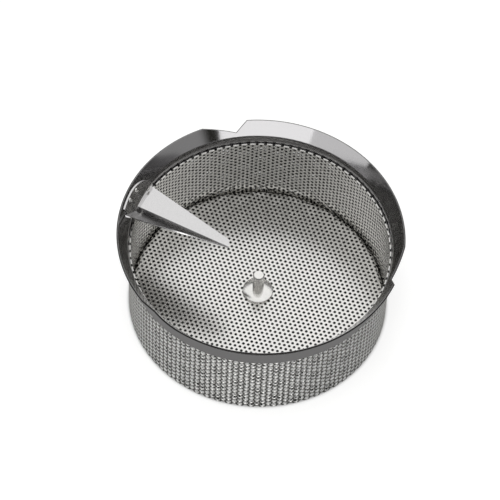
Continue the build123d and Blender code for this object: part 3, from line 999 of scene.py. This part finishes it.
class SIEVE_OT_stage(bpy.types.Operator):
    """Sets the floor, the studio light and the camera"""

    bl_idname = "sieve.stage"
    bl_label = "Studio"

    def execute(self, context):
        stage = context.scene.sieve.stage
        context.scene.view_settings.view_transform = "Standard"
        self.make_floor(stage)
        self.make_world(context, stage)
        self.make_lamps(context, stage)
        self.make_camera(context, stage)
        return {"FINISHED"}

    def make_floor(self, stage):
        """A pale paper floor that is white to the eye outside the basket's footprint, takes the lamps' shadow
        and has a painted shadow under and behind the basket.
        """
        half = PAPER_SIZE / 2
        mesh = bpy.data.meshes.new("studio_floor")
        corners = [(-half, -half, 0), (half, -half, 0), (half, half, 0), (-half, half, 0)]
        mesh.from_pydata(corners, [], [(0, 1, 2, 3)])
        floor = bpy.data.objects.new("studio_floor", mesh)
        bpy.context.collection.objects.link(floor)
        material = new_material("Pale studio paper")
        tree = material.node_tree
        rays = add_node(tree, "ShaderNodeLightPath")
        place = add_node(tree, "ShaderNodeTexCoord")["Object"]
        # The basket stands on, and hides from the front, a strip of paper from its axis backwards: there the
        # paper gets the shade colour and no white, a painted shadow
        depth = add_node(tree, "ShaderNodeSeparateXYZ", {0: place})["Y"]
        behind = add_node(tree, "ShaderNodeClamp", {"Value": depth, "Min": 0.0, "Max": stage.hidden_depth})[0]
        reach = vector_calc(tree, "DISTANCE", place, combine(tree, Y=behind))
        near_edge, far_edge = SUPPORT_OUTER - stage.halo / 2, SUPPORT_OUTER - stage.hidden_fade
        inner_edge = map_range(tree, depth, 0.0, stage.hidden_depth, near_edge, far_edge)
        outside = map_range(tree, reach, inner_edge, SUPPORT_OUTER + stage.halo / 2, fade="SMOOTHSTEP")
        direct = calc(tree, "MAXIMUM", rays["Is Camera Ray"], rays["Is Transmission Ray"])
        mirrored = calc(tree, "MULTIPLY", rays["Is Glossy Ray"], stage.mirrored_glow)
        white = calc(tree, "MULTIPLY_ADD", direct, stage.glow, mirrored)
        seen = calc(tree, "MULTIPLY", outside, white)
        # Painted shadow: the shade colour inside the footprint and the hidden strip, the paper's colour
        # outside
        shade = mix_colours(tree, outside, stage.shade, stage.backdrop)
        paper = add_node(tree, "ShaderNodeBsdfDiffuse", {"Color": shade})[0]
        glow = add_node(tree, "ShaderNodeEmission", {"Color": WHITE, "Strength": seen})[0]
        both = add_node(tree, "ShaderNodeAddShader", {0: paper, 1: glow})[0]
        add_node(tree, "ShaderNodeOutputMaterial", {"Surface": both})
        mesh.materials.append(material)

    def make_world(self, context, stage):
        """A white studio: white to the eye, a white ceiling and grey wall to the metal, a dim room else."""
        world = bpy.data.worlds.new("White studio")
        world.use_nodes = True
        tree = world.node_tree
        tree.nodes.clear()
        rays = add_node(tree, "ShaderNodeLightPath")
        direction = add_node(tree, "ShaderNodeTexCoord")["Generated"]
        height = add_node(tree, "ShaderNodeSeparateXYZ", {0: direction})["Z"]
        # The ceiling is brightest above the back and fades out towards the horizon
        overhead = vector_calc(tree, "DOT_PRODUCT", direction, CEILING_WAY)
        brightness = map_range(tree, overhead, *CEILING_FADE, fade="SMOOTHSTEP")
        above_horizon = map_range(tree, height, *HORIZON_FADE, fade="SMOOTHSTEP")
        ceiling = calc(tree, "MULTIPLY", above_horizon, brightness)
        # A grey wall stands at the right, short of the softbox
        toward_wall = vector_calc(tree, "DOT_PRODUCT", direction, WALL_WAY)
        wall = map_range(tree, toward_wall, *WALL_FADE, 0.0, WALL_LEVEL, "SMOOTHSTEP")
        white = calc(tree, "MAXIMUM", ceiling, wall)
        studio = mix_colours(tree, white, stage.room, WHITE)
        level = mix_colours(tree, rays["Is Diffuse Ray"], studio, [stage.ambient] * 3 + [1])
        seen = mix_colours(tree, rays["Is Camera Ray"], level, WHITE)
        background = add_node(tree, "ShaderNodeBackground", {"Color": seen, "Strength": 1.0})[0]
        add_node(tree, "ShaderNodeOutputWorld", {"Surface": background})
        context.scene.world = world

    def make_lamps(self, context, stage):
        """A broad lamp overhead, which casts the shadow, and low softboxes at the front and front left."""
        lamps = (
            ("Overhead lamp", stage.lamp_place, stage.lamp_size, stage.lamp_power, False),
            ("Low softbox", stage.softbox_place, stage.softbox_size, stage.softbox_power, True),
            ("Side softbox", stage.side_place, stage.side_size, stage.side_power, True),
        )
        for name, place, size, power, mirrored in lamps:
            light = bpy.data.lights.new(name, "AREA")
            light.shape = "RECTANGLE"
            light.size, light.size_y = size
            light.energy = power
            lamp = bpy.data.objects.new(name, light)
            lamp.visible_glossy = mirrored
            lamp.location = place
            aim = Vector((0, 0, FLOOR_TOP)) - lamp.location
            lamp.rotation_euler = aim.to_track_quat("-Z", "Y").to_euler()
            context.collection.objects.link(lamp)

    def make_camera(self, context, stage):
        """The photograph's camera."""
        tilt = Matrix.Rotation(math.pi / 2 - stage.elevation, 4, "X")
        roll = Matrix.Rotation(-stage.roll, 4, "Z")
        from_floor = tilt @ Vector((-stage.aim[0], -stage.aim[1], stage.distance))
        place = Vector((0, 0, FLOOR_TOP)) + from_floor
        data = bpy.data.cameras.new("Camera")
        data.sensor_width = SENSOR_WIDTH
        data.lens = stage.lens
        data.clip_end = CLIP_END
        camera = bpy.data.objects.new("Camera", data)
        camera.matrix_world = Matrix.Translation(place) @ tilt @ roll
        context.collection.objects.link(camera)
        context.scene.camera = camera


class SIEVE_PT_panel(bpy.types.Panel):
    """The basket's settings and makers"""

    bl_idname = "SIEVE_PT_panel"
    bl_label = "Sieve basket"
    bl_space_type = "VIEW_3D"
    bl_region_type = "UI"
    bl_category = "Sieve"

    def draw(self, context):
        for group_name in ("perforation", "ring", "fittings", "finish", "stage"):
            group = getattr(context.scene.sieve, group_name)
            box = self.layout.box()
            box.label(text=group_name.title())
            for setting in type(group).__annotations__:
                box.prop(group, setting)
        for maker in MAKERS:
            self.layout.operator(maker.bl_idname)


MAKERS = (
    SIEVE_OT_floor, SIEVE_OT_walls, SIEVE_OT_ring, SIEVE_OT_blade, SIEVE_OT_rivets,
    SIEVE_OT_fittings, SIEVE_OT_stage,
)
CLASSES = (
    SievePerforation, SieveRing, SieveFittings, SieveFinish, SieveStage, SieveSettings,
    *MAKERS, SIEVE_PT_panel,
)


def register():
    for cls in CLASSES:
        bpy.utils.register_class(cls)
    bpy.types.Scene.sieve = PointerProperty(type=SieveSettings)


def unregister():
    del bpy.types.Scene.sieve
    for cls in reversed(CLASSES):
        bpy.utils.unregister_class(cls)


def main():
    register()
    punched_sheet_tree()
    bpy.ops.sieve.floor()
    bpy.ops.sieve.walls()
    bpy.ops.sieve.ring()
    bpy.ops.sieve.blade()
    bpy.ops.sieve.rivets()
    bpy.ops.sieve.fittings()
    bpy.ops.sieve.stage()


if __name__ == "__main__":
    main()
